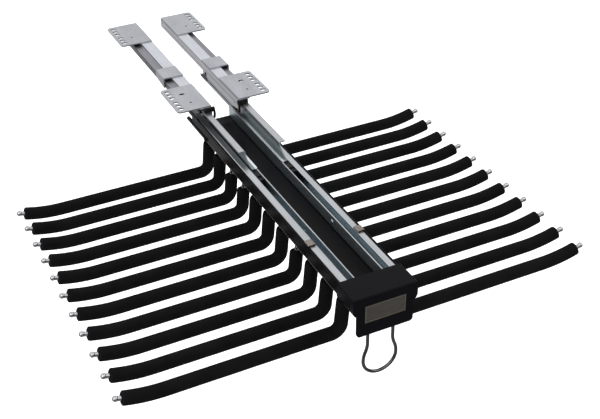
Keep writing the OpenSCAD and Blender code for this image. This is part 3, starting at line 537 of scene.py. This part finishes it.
# %% [markdown]
# The route is a chain of arcs and straight runs, seen from the front. Bends need more points than
# straight runs, and at both ends the points lie close together, where the foam is rounded off.
# %% Route of a sleeve
WRAP_STEPS, LEG_STEPS, FOOT_STEPS, ARM_STEPS, TIP_STEPS = 8, 4, 14, 22, 10


def unit(angle):
    """A vector of length 1 at an angle."""
    return Vector((math.cos(angle), math.sin(angle)))


def arc(centre, radius, start, sweep, steps, count):
    """The first points of an arc that is cut into steps."""
    return [centre + radius * unit(start + sweep * k / steps) for k in range(count)]


def sleeve_route(bare):
    """Points of the middle line, as distances from the rack's middle plane and heights."""
    side, down = unit(LEAN), unit(LEAN - math.pi / 2)
    leg = (ARM_DROP - BEND_R - FOOT_R + (BEND_R + FOOT_R) * math.sin(LEAN)) / math.cos(LEAN)
    top = Vector((LEG_SPAN / 2 - BEND_R, CHANNEL_BOTTOM - BEND_R))
    foot = top + side * (BEND_R + FOOT_R) + down * leg
    low = foot - Vector((0, FOOT_R))
    run_end = Vector((BALL_SPAN / 2 - TIP_L, low.y))
    tip_r = (TIP_L ** 2 + TIP_RISE ** 2) / (2 * TIP_RISE)
    tip_turn = 2 * math.atan(TIP_RISE / TIP_L) - TIP_BARE / tip_r
    start = LEG_BARE if bare else 0.0
    points = [] if bare else arc(top, BEND_R, LEAN + WRAP, -WRAP, WRAP_STEPS, WRAP_STEPS)
    points += [top + side * BEND_R + down * (start + (leg - start) * k / LEG_STEPS)
               for k in range(LEG_STEPS)]
    points += arc(foot, FOOT_R, math.pi + LEAN, math.pi / 2 - LEAN, FOOT_STEPS, FOOT_STEPS)
    points += [low.lerp(run_end, k / ARM_STEPS) for k in range(ARM_STEPS)]
    points += arc(run_end + Vector((0, tip_r)), tip_r, -math.pi / 2, tip_turn, TIP_STEPS,
                  TIP_STEPS + 1)
    return points


print("route of", len(sleeve_route(False)), "points, or", len(sleeve_route(True)), "when bare")

# %% Points for the rounded rims
SLEEVE_RIM = 1.3
RIM_POINTS = (0.12, 0.4, 0.8, SLEEVE_RIM)


def close_ends(points):
    """Adds points near both ends, for the rounded rims."""
    first, last = points[0], points[-1]
    ahead, back = (points[1] - first).normalized(), (points[-2] - last).normalized()
    return ([first] + [first + ahead * s for s in RIM_POINTS] + points[1:-1]
            + [last + back * s for s in reversed(RIM_POINTS)] + [last])


print("with rims", len(close_ends(sleeve_route(False))), "points")

# %% [markdown]
# ## A builder for node groups
# What repeats on the rack is made with Geometry Nodes: a tree that takes a mesh and some sizes and
# gives a finished shape. Joining nodes by hand in a script is wordy, so a small class keeps the
# tree, its named inputs and its output together. Every tree ends with Realize Instances and Set
# Material, because only real geometry can be exported.
# %% Group builder
class GroupBuilder:
    """A geometry node group under construction."""

    def __init__(self, name, sizes):
        self.tree = bpy.data.node_groups.new(name, "GeometryNodeTree")
        new_socket = self.tree.interface.new_socket
        new_socket(name="Geometry", in_out="INPUT", socket_type="NodeSocketGeometry")
        for label, value in sizes.items():
            new_socket(name=label, in_out="INPUT",
                       socket_type="NodeSocketFloat").default_value = value
        new_socket(name="Material", in_out="INPUT", socket_type="NodeSocketMaterial")
        new_socket(name="Geometry", in_out="OUTPUT", socket_type="NodeSocketGeometry")
        self.inputs = self.add("NodeGroupInput").outputs
        self.result = self.add("NodeGroupOutput").inputs["Geometry"]

    def add(self, kind, **settings):
        """Adds a node; each setting is a property of the node."""
        return add(self.tree, kind, **settings)

    def link(self, output, target):
        """Joins an output to an input."""
        self.tree.links.new(output, target)

    def calc(self, operation, *values, clamp=False):
        """The output of a math node; each value is a number or a socket."""
        node = self.add("ShaderNodeMath", operation=operation, use_clamp=clamp)
        for socket, value in zip(node.inputs, values):
            if isinstance(value, (int, float)):
                socket.default_value = value
            else:
                self.link(value, socket)
        return node.outputs[0]

    def finish(self, geometry):
        """Makes copies real and sets the material."""
        real = self.add("GeometryNodeRealizeInstances")
        paint = self.add("GeometryNodeSetMaterial")
        self.link(geometry, real.inputs["Geometry"])
        self.link(real.outputs["Geometry"], paint.inputs["Geometry"])
        self.link(self.inputs["Material"], paint.inputs["Material"])
        self.link(paint.outputs["Geometry"], self.result)
        print(self.tree.name, "has", len(self.tree.nodes), "nodes")


print("builder", GroupBuilder.__name__)

# %% [markdown]
# A curve object with a bevel could draw a plain pipe. The node group does more: the radius falls
# off near the ends like a quarter circle, and a little noise makes the surface as uneven as cut
# foam. One group serves all sleeves, and its seed gives each pair its own skin.
# %% Sleeve group: the radius along the line
tube = GroupBuilder("foam_sleeve", {
    "Radius": SLEEVE_D / 2 * MM, "Rim": SLEEVE_RIM * MM, "Unevenness": 0.0002, "Grain": 60.0,
    "Seed": 1.0})
travelled = tube.add("GeometryNodeSplineParameter").outputs["Length"]
total = tube.add("GeometryNodeSplineLength").outputs["Length"]
to_end = tube.calc("MINIMUM", travelled, tube.calc("SUBTRACT", total, travelled))
share = tube.calc("DIVIDE", to_end, tube.inputs["Rim"], clamp=True)
inward = tube.calc("SUBTRACT", 1.0, share)
square = tube.calc("MULTIPLY", inward, inward)
quarter = tube.calc("SQRT", tube.calc("SUBTRACT", 1.0, square))
cut_back = tube.calc("MULTIPLY", tube.inputs["Rim"], tube.calc("SUBTRACT", 1.0, quarter))
radius = tube.calc("SUBTRACT", tube.inputs["Radius"], cut_back)
print("radius falls off over", SLEEVE_RIM, "mm at each end")

# %% Sleeve group: the sweep
SLEEVE_SIDES = 22
line = tube.add("GeometryNodeMeshToCurve")
sized = tube.add("GeometryNodeSetCurveRadius")
circle = tube.add("GeometryNodeCurvePrimitiveCircle")
circle.inputs["Resolution"].default_value = SLEEVE_SIDES
circle.inputs["Radius"].default_value = 1.0
sweep = tube.add("GeometryNodeCurveToMesh")
sweep.inputs["Fill Caps"].default_value = True
tube.link(tube.inputs["Geometry"], line.inputs["Mesh"])
tube.link(line.outputs["Curve"], sized.inputs["Curve"])
tube.link(radius, sized.inputs["Radius"])
tube.link(sized.outputs["Curve"], sweep.inputs["Curve"])
tube.link(circle.outputs["Curve"], sweep.inputs["Profile Curve"])
tube.link(radius, sweep.inputs["Scale"])
print("sleeve with", SLEEVE_SIDES, "sides")

# %% Sleeve group: the uneven skin
wobble = tube.add("ShaderNodeTexNoise", noise_dimensions="4D")
tube.link(tube.add("GeometryNodeInputPosition").outputs["Position"], wobble.inputs["Vector"])
tube.link(tube.inputs["Grain"], wobble.inputs["Scale"])
tube.link(tube.inputs["Seed"], wobble.inputs["W"])
amount = tube.calc("MULTIPLY", tube.inputs["Unevenness"],
                   tube.calc("SUBTRACT", wobble.outputs["Fac"], 0.5))
push = tube.add("ShaderNodeVectorMath", operation="SCALE")
tube.link(tube.add("GeometryNodeInputNormal").outputs["Normal"], push.inputs["Vector"])
tube.link(amount, push.inputs["Scale"])
skin = tube.add("GeometryNodeSetPosition")
smooth = tube.add("GeometryNodeSetShadeSmooth")
tube.link(sweep.outputs["Mesh"], skin.inputs["Geometry"])
tube.link(push.outputs["Vector"], skin.inputs["Offset"])
tube.link(skin.outputs["Geometry"], smooth.inputs["Geometry"])
tube.finish(smooth.outputs["Geometry"])

# %% [markdown]
# A group runs as a modifier on a mesh. The sizes are set by the sockets' identifiers, the
# evaluated result is kept as a plain mesh, and the modifier goes. A swept surface can come out
# with its faces turned inwards. Its signed volume tells, and then all faces are turned round.
# %% Run a group once
def line_mesh(name, lines):
    """A mesh of open chains of points, given in millimetres."""
    mesh = bpy.data.meshes.new(name)
    points, edges = [], []
    for chain in lines:
        edges += [(len(points) + k, len(points) + k + 1) for k in range(len(chain) - 1)]
        points += [Vector(point) * MM for point in chain]
    mesh.from_pydata(points, edges, [])
    return mesh


def run_group(name, mesh, group, values):
    """Runs a node group on a mesh once and keeps the result as a plain mesh object."""
    item = bpy.data.objects.new(name, mesh)
    scene.collection.objects.link(item)
    modifier = item.modifiers.new("build", "NODES")
    modifier.node_group = group
    for socket in group.interface.items_tree:
        if socket.in_out == "INPUT" and socket.name in values:
            modifier[socket.identifier] = values[socket.name]
    graph = bpy.context.evaluated_depsgraph_get()
    made = bpy.data.meshes.new_from_object(item.evaluated_get(graph), depsgraph=graph)
    item.modifiers.clear()
    item.data = made
    made.name = name
    shape = bmesh.new()
    shape.from_mesh(made)
    if shape.calc_volume(signed=True) < 0:
        bmesh.ops.reverse_faces(shape, faces=shape.faces)
        shape.to_mesh(made)
    shape.free()
    return item


print("runners", line_mesh.__name__, run_group.__name__)

# %% [markdown]
# The sleeves are swept in pairs, one pair for each rod. Each pair takes the place of its CAD
# sleeves and rides on the carriage. The radius is a little smaller than the solid's, which leaves
# room for the uneven skin.
# %% Sweep the sleeves
SKIN_ROOM = 0.08
for number in range(ROD_COUNT):
    y = FIRST_ROD + ROD_PITCH * number
    route = close_ends(sleeve_route(number in BARE_LEGS))
    chains = [[(s * point.x, y, point.y) for point in route] for s in (-1, 1)]
    node_name = f"arm_sleeves_{number + 1:02d}"
    sleeve = run_group(f"foam_sleeve_{number + 1:02d}", line_mesh("route", chains), tube.tree, {
        "Radius": (SLEEVE_D / 2 - SKIN_ROOM) * MM, "Seed": float(number), "Material": foam})
    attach(sleeve, "carriage")
    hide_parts(node_name)
print("sleeves", ROD_COUNT, "pairs, faces each", len(sleeve.data.polygons))

# %% [markdown]
# ## Clamp screws
# Pan-head screws with a cross recess hold the clamp strip under the channel. They could be copied
# by hand, but a group that makes one screw and copies it to points keeps them all alike. Half a
# ball, pressed flat at its base, is the head, two crossed boxes cut the recess, and a plain
# cylinder is the shank. The screws go in from below, so the head hangs under the origin and the
# shank stands on it.
# %% Screw group: the head
BALL_SEGMENTS, BALL_RINGS = 32, 14
screw = GroupBuilder("cross_screw", {
    "Head Radius": 0.0037, "Head Height": 0.0024, "Shank Radius": 0.002, "Shank Length": 0.0067,
    "Recess Length": 0.004, "Recess Width": 0.0009, "Recess Depth": 0.0014})
ball = screw.add("GeometryNodeMeshUVSphere")
ball.inputs["Segments"].default_value = BALL_SEGMENTS
ball.inputs["Rings"].default_value = BALL_RINGS
parts = screw.add("ShaderNodeSeparateXYZ")
joined = screw.add("ShaderNodeCombineXYZ")
head = screw.add("GeometryNodeSetPosition")
screw.link(screw.inputs["Head Radius"], ball.inputs["Radius"])
screw.link(screw.add("GeometryNodeInputPosition").outputs["Position"], parts.inputs["Vector"])
flatter = screw.calc("DIVIDE", screw.inputs["Head Height"], screw.inputs["Head Radius"])
lower_half = screw.calc("MINIMUM", parts.outputs["Z"], 0.0)
screw.link(parts.outputs["X"], joined.inputs["X"])
screw.link(parts.outputs["Y"], joined.inputs["Y"])
screw.link(screw.calc("MULTIPLY", lower_half, flatter), joined.inputs["Z"])
screw.link(ball.outputs["Mesh"], head.inputs["Geometry"])
screw.link(joined.outputs["Vector"], head.inputs["Position"])
print("head of", BALL_SEGMENTS, "segments and", BALL_RINGS, "rings")

# %% Screw group: the cross recess
recess = screw.add("GeometryNodeMeshBoolean", operation="DIFFERENCE")
screw.link(head.outputs["Geometry"], recess.inputs["Mesh 1"])
box_height = screw.calc("MULTIPLY", screw.inputs["Recess Depth"], 2.0)
lowest = screw.calc("MULTIPLY", screw.inputs["Head Height"], -1.0)
for long_axis, short_axis in (("X", "Y"), ("Y", "X")):
    size = screw.add("ShaderNodeCombineXYZ")
    box = screw.add("GeometryNodeMeshCube")
    base = screw.add("ShaderNodeCombineXYZ")
    moved = screw.add("GeometryNodeTransform")
    screw.link(screw.inputs["Recess Length"], size.inputs[long_axis])
    screw.link(screw.inputs["Recess Width"], size.inputs[short_axis])
    screw.link(box_height, size.inputs["Z"])
    screw.link(size.outputs["Vector"], box.inputs["Size"])
    screw.link(lowest, base.inputs["Z"])
    screw.link(box.outputs["Mesh"], moved.inputs["Geometry"])
    screw.link(base.outputs["Vector"], moved.inputs["Translation"])
    screw.link(moved.outputs["Geometry"], recess.inputs["Mesh 2"])
print("recess cut by two boxes")

# %% Screw group: the shank and the copies
shank = screw.add("GeometryNodeMeshCylinder")
up = screw.add("ShaderNodeCombineXYZ")
raised = screw.add("GeometryNodeTransform")
screw.link(screw.inputs["Shank Radius"], shank.inputs["Radius"])
screw.link(screw.inputs["Shank Length"], shank.inputs["Depth"])
screw.link(screw.calc("MULTIPLY", screw.inputs["Shank Length"], 0.5), up.inputs["Z"])
screw.link(shank.outputs["Mesh"], raised.inputs["Geometry"])
screw.link(up.outputs["Vector"], raised.inputs["Translation"])
whole = screw.add("GeometryNodeJoinGeometry")
screw.link(recess.outputs["Mesh"], whole.inputs["Geometry"])
screw.link(raised.outputs["Geometry"], whole.inputs["Geometry"])
copies = screw.add("GeometryNodeInstanceOnPoints")
screw.link(screw.inputs["Geometry"], copies.inputs["Points"])
screw.link(whole.outputs["Geometry"], copies.inputs["Instance"])
screw.finish(copies.outputs["Instances"])

# %% Set the screws
STRIP_T, SCREW_STEP = 3.5, 3
seats = [[(0, FIRST_ROD + ROD_PITCH * (number + 0.5), CHANNEL_BOTTOM - STRIP_T)]
         for number in range(0, ROD_COUNT - 1, SCREW_STEP)]
screws = run_group("cross_screws", line_mesh("seats", seats), screw.tree,
                   {"Material": fastener_steel})
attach(screws, "carriage")
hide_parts("clamp_screws")
print("screws", len(seats), "faces", len(screws.data.polygons))

# %% [markdown]
# ## Studio
# The photograph is a cut-out on white, lit softly from all round. A pale floor well below the
# rack, a white world and three large lamps give the same even light and almost no shadow, and a
# narrow strip lamp draws a fine line along the edges. The floor is clear from underneath, so that
# the rack can be looked at from below too.
# %% Floor
FLOOR_HALF, FLOOR_Z = 7, -0.55
floor_mesh = bpy.data.meshes.new("floor")
shape = bmesh.new()
bmesh.ops.create_grid(shape, x_segments=1, y_segments=1, size=FLOOR_HALF)
shape.to_mesh(floor_mesh)
shape.free()
floor_mesh.transform(Matrix.Translation((0, 0, FLOOR_Z)))
floor = bpy.data.objects.new("floor", floor_mesh)
scene.collection.objects.link(floor)
floor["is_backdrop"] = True
print("floor at", FLOOR_Z, "half width", FLOOR_HALF)

# %% Paint for the floor
floor_paint, tree, shader = start_material("floor_paint", (0.9, 0.9, 0.9), 0.0, 0.9)
shader.inputs["Emission Color"].default_value = (1, 1, 1, 1)
shader.inputs["Emission Strength"].default_value = 0.45
shader.inputs["Specular IOR Level"].default_value = 0.0
speckle = noise(tree, coordinates(tree, EVEN), 3.0, detail=2.0, rough=0.5)
tree.links.new(ramp(tree, speckle, [(0.2, (0.88, 0.88, 0.88)), (0.8, (0.92, 0.92, 0.92))]),
               shader.inputs["Base Color"])
clear = add(tree, "ShaderNodeBsdfTransparent", (0, -300))
side = add(tree, "ShaderNodeNewGeometry", (0, 300))
either = add(tree, "ShaderNodeMixShader", (300, 100))
tree.links.new(side.outputs["Backfacing"], either.inputs[0])
tree.links.new(shader.outputs["BSDF"], either.inputs[1])
tree.links.new(clear.outputs["BSDF"], either.inputs[2])
tree.links.new(either.outputs["Shader"], tree.nodes["Material Output"].inputs["Surface"])
floor_mesh.materials.append(floor_paint)
floor.visible_glossy = False
print("floor painted with", floor_paint.name)

# %% [markdown]
# What shines must have something to mirror. Cards could stand round the rack, but they would show
# from some sides. Here glossy rays miss the floor and see a tent that is painted on the world
# itself, as a photographer hangs it round chrome and black plastic. The tent is bright above and
# darker at its foot, and its front wall, where the camera looks in, is darker than the back. All
# other rays see plain white.
# %% Walls of the tent
TENT_HEIGHTS = (0.0, 0.28, 0.42, 0.50, 0.58, 0.74, 1.0)
BACK_LEVELS = (0.40, 0.70, 0.40, 0.18, 0.44, 1.10, 0.78)
FRONT_LEVELS = (0.38, 0.20, 0.14, 0.11, 0.26, 0.84, 0.78)
TENT_BLUE = 1.02
world = bpy.data.worlds.new("studio")
scene.world = world
world.use_nodes = True
sky = world.node_tree
direction = add(sky, "ShaderNodeTexCoord", (-1300, 0))
parts = add(sky, "ShaderNodeSeparateXYZ", (-1100, 0))
upward = add(sky, "ShaderNodeMapRange", (-900, 0))
upward.inputs["From Min"].default_value = -1.0
sky.links.new(direction.outputs["Generated"], parts.inputs["Vector"])
sky.links.new(parts.outputs["Z"], upward.inputs["Value"])


def tent_wall(levels, at):
    """A wall with its brightness at each height, from straight down to straight up."""
    stops = [(place, (level, level, TENT_BLUE * level))
             for place, level in zip(TENT_HEIGHTS, levels)]
    return ramp(sky, upward.outputs["Result"], stops, at)


back_wall = tent_wall(BACK_LEVELS, (-700, 100))
front_wall = tent_wall(FRONT_LEVELS, (-700, -200))
print("tent walls with", len(TENT_HEIGHTS), "heights")

# %% World for glossy rays and for all others
WALL_BLEND = 0.5
backward = add(sky, "ShaderNodeMapRange", (-900, -300))
backward.inputs["From Min"].default_value = -WALL_BLEND
backward.inputs["From Max"].default_value = WALL_BLEND
tent = add(sky, "ShaderNodeMix", (-450, 0), data_type="RGBA")
sky.links.new(parts.outputs["Y"], backward.inputs["Value"])
sky.links.new(backward.outputs["Result"], tent.inputs["Factor"])
sky.links.new(front_wall, tent.inputs[COLOUR_A])
sky.links.new(back_wall, tent.inputs[COLOUR_B])
ray = add(sky, "ShaderNodeLightPath", (-900, 300))
seen = add(sky, "ShaderNodeMix", (-300, 200), data_type="RGBA")
seen.inputs[COLOUR_A].default_value = (1, 1, 1, 1)
sky.links.new(ray.outputs["Is Glossy Ray"], seen.inputs["Factor"])
sky.links.new(tent.outputs[COLOUR_OUT], seen.inputs[COLOUR_B])
sky.links.new(seen.outputs[COLOUR_OUT], sky.nodes["Background"].inputs["Color"])
print("world", world.name, "with", len(sky.nodes), "nodes")

# %% [markdown]
# The lamps are large, so their light is soft. The top lamp is kept out of reflections, which
# would burn out the flat plates when they are seen from above.
# %% Lamps
RACK_MIDDLE, FRONT_HALF = (0, -0.1, 0), (0, -0.3, 0)


def lamp(name, place, aim, size, power):
    """A rectangular lamp at a place, turned towards its aim."""
    data = bpy.data.lights.new(name, "AREA")
    data.shape = "RECTANGLE"
    data.size, data.size_y = size
    data.energy = power
    item = bpy.data.objects.new(name, data)
    scene.collection.objects.link(item)
    item.location = place
    item.rotation_euler = (Vector(aim) - Vector(place)).to_track_quat("-Z", "Y").to_euler()
    return item


lamp("key", (-1.2, -1.4, 1.8), RACK_MIDDLE, size=(2.2, 1.8), power=11)
lamp("fill", (1.8, -1.0, 1.2), RACK_MIDDLE, size=(2.0, 1.6), power=7)
top = lamp("top", (0.1, 0.9, 2.2), RACK_MIDDLE, size=(3.0, 2.0), power=20)
top.visible_glossy = False
lamp("edge", (-1.5, -0.9, 0.5), FRONT_HALF, size=(0.12, 1.4), power=3)
print("lamps", len(bpy.data.lights))

# %% [markdown]
# ## Size
# The dressed rack is meant to be as large as its solids. Two boxes tell: the one noted at the
# start and the one round everything that shows now. Both are printed, the first at the start and
# the second here.
# %% Print the dressed box and finish
seen_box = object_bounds()
for low_high in seen_box:
    print("visual corner", [round(v, 4) for v in low_high])
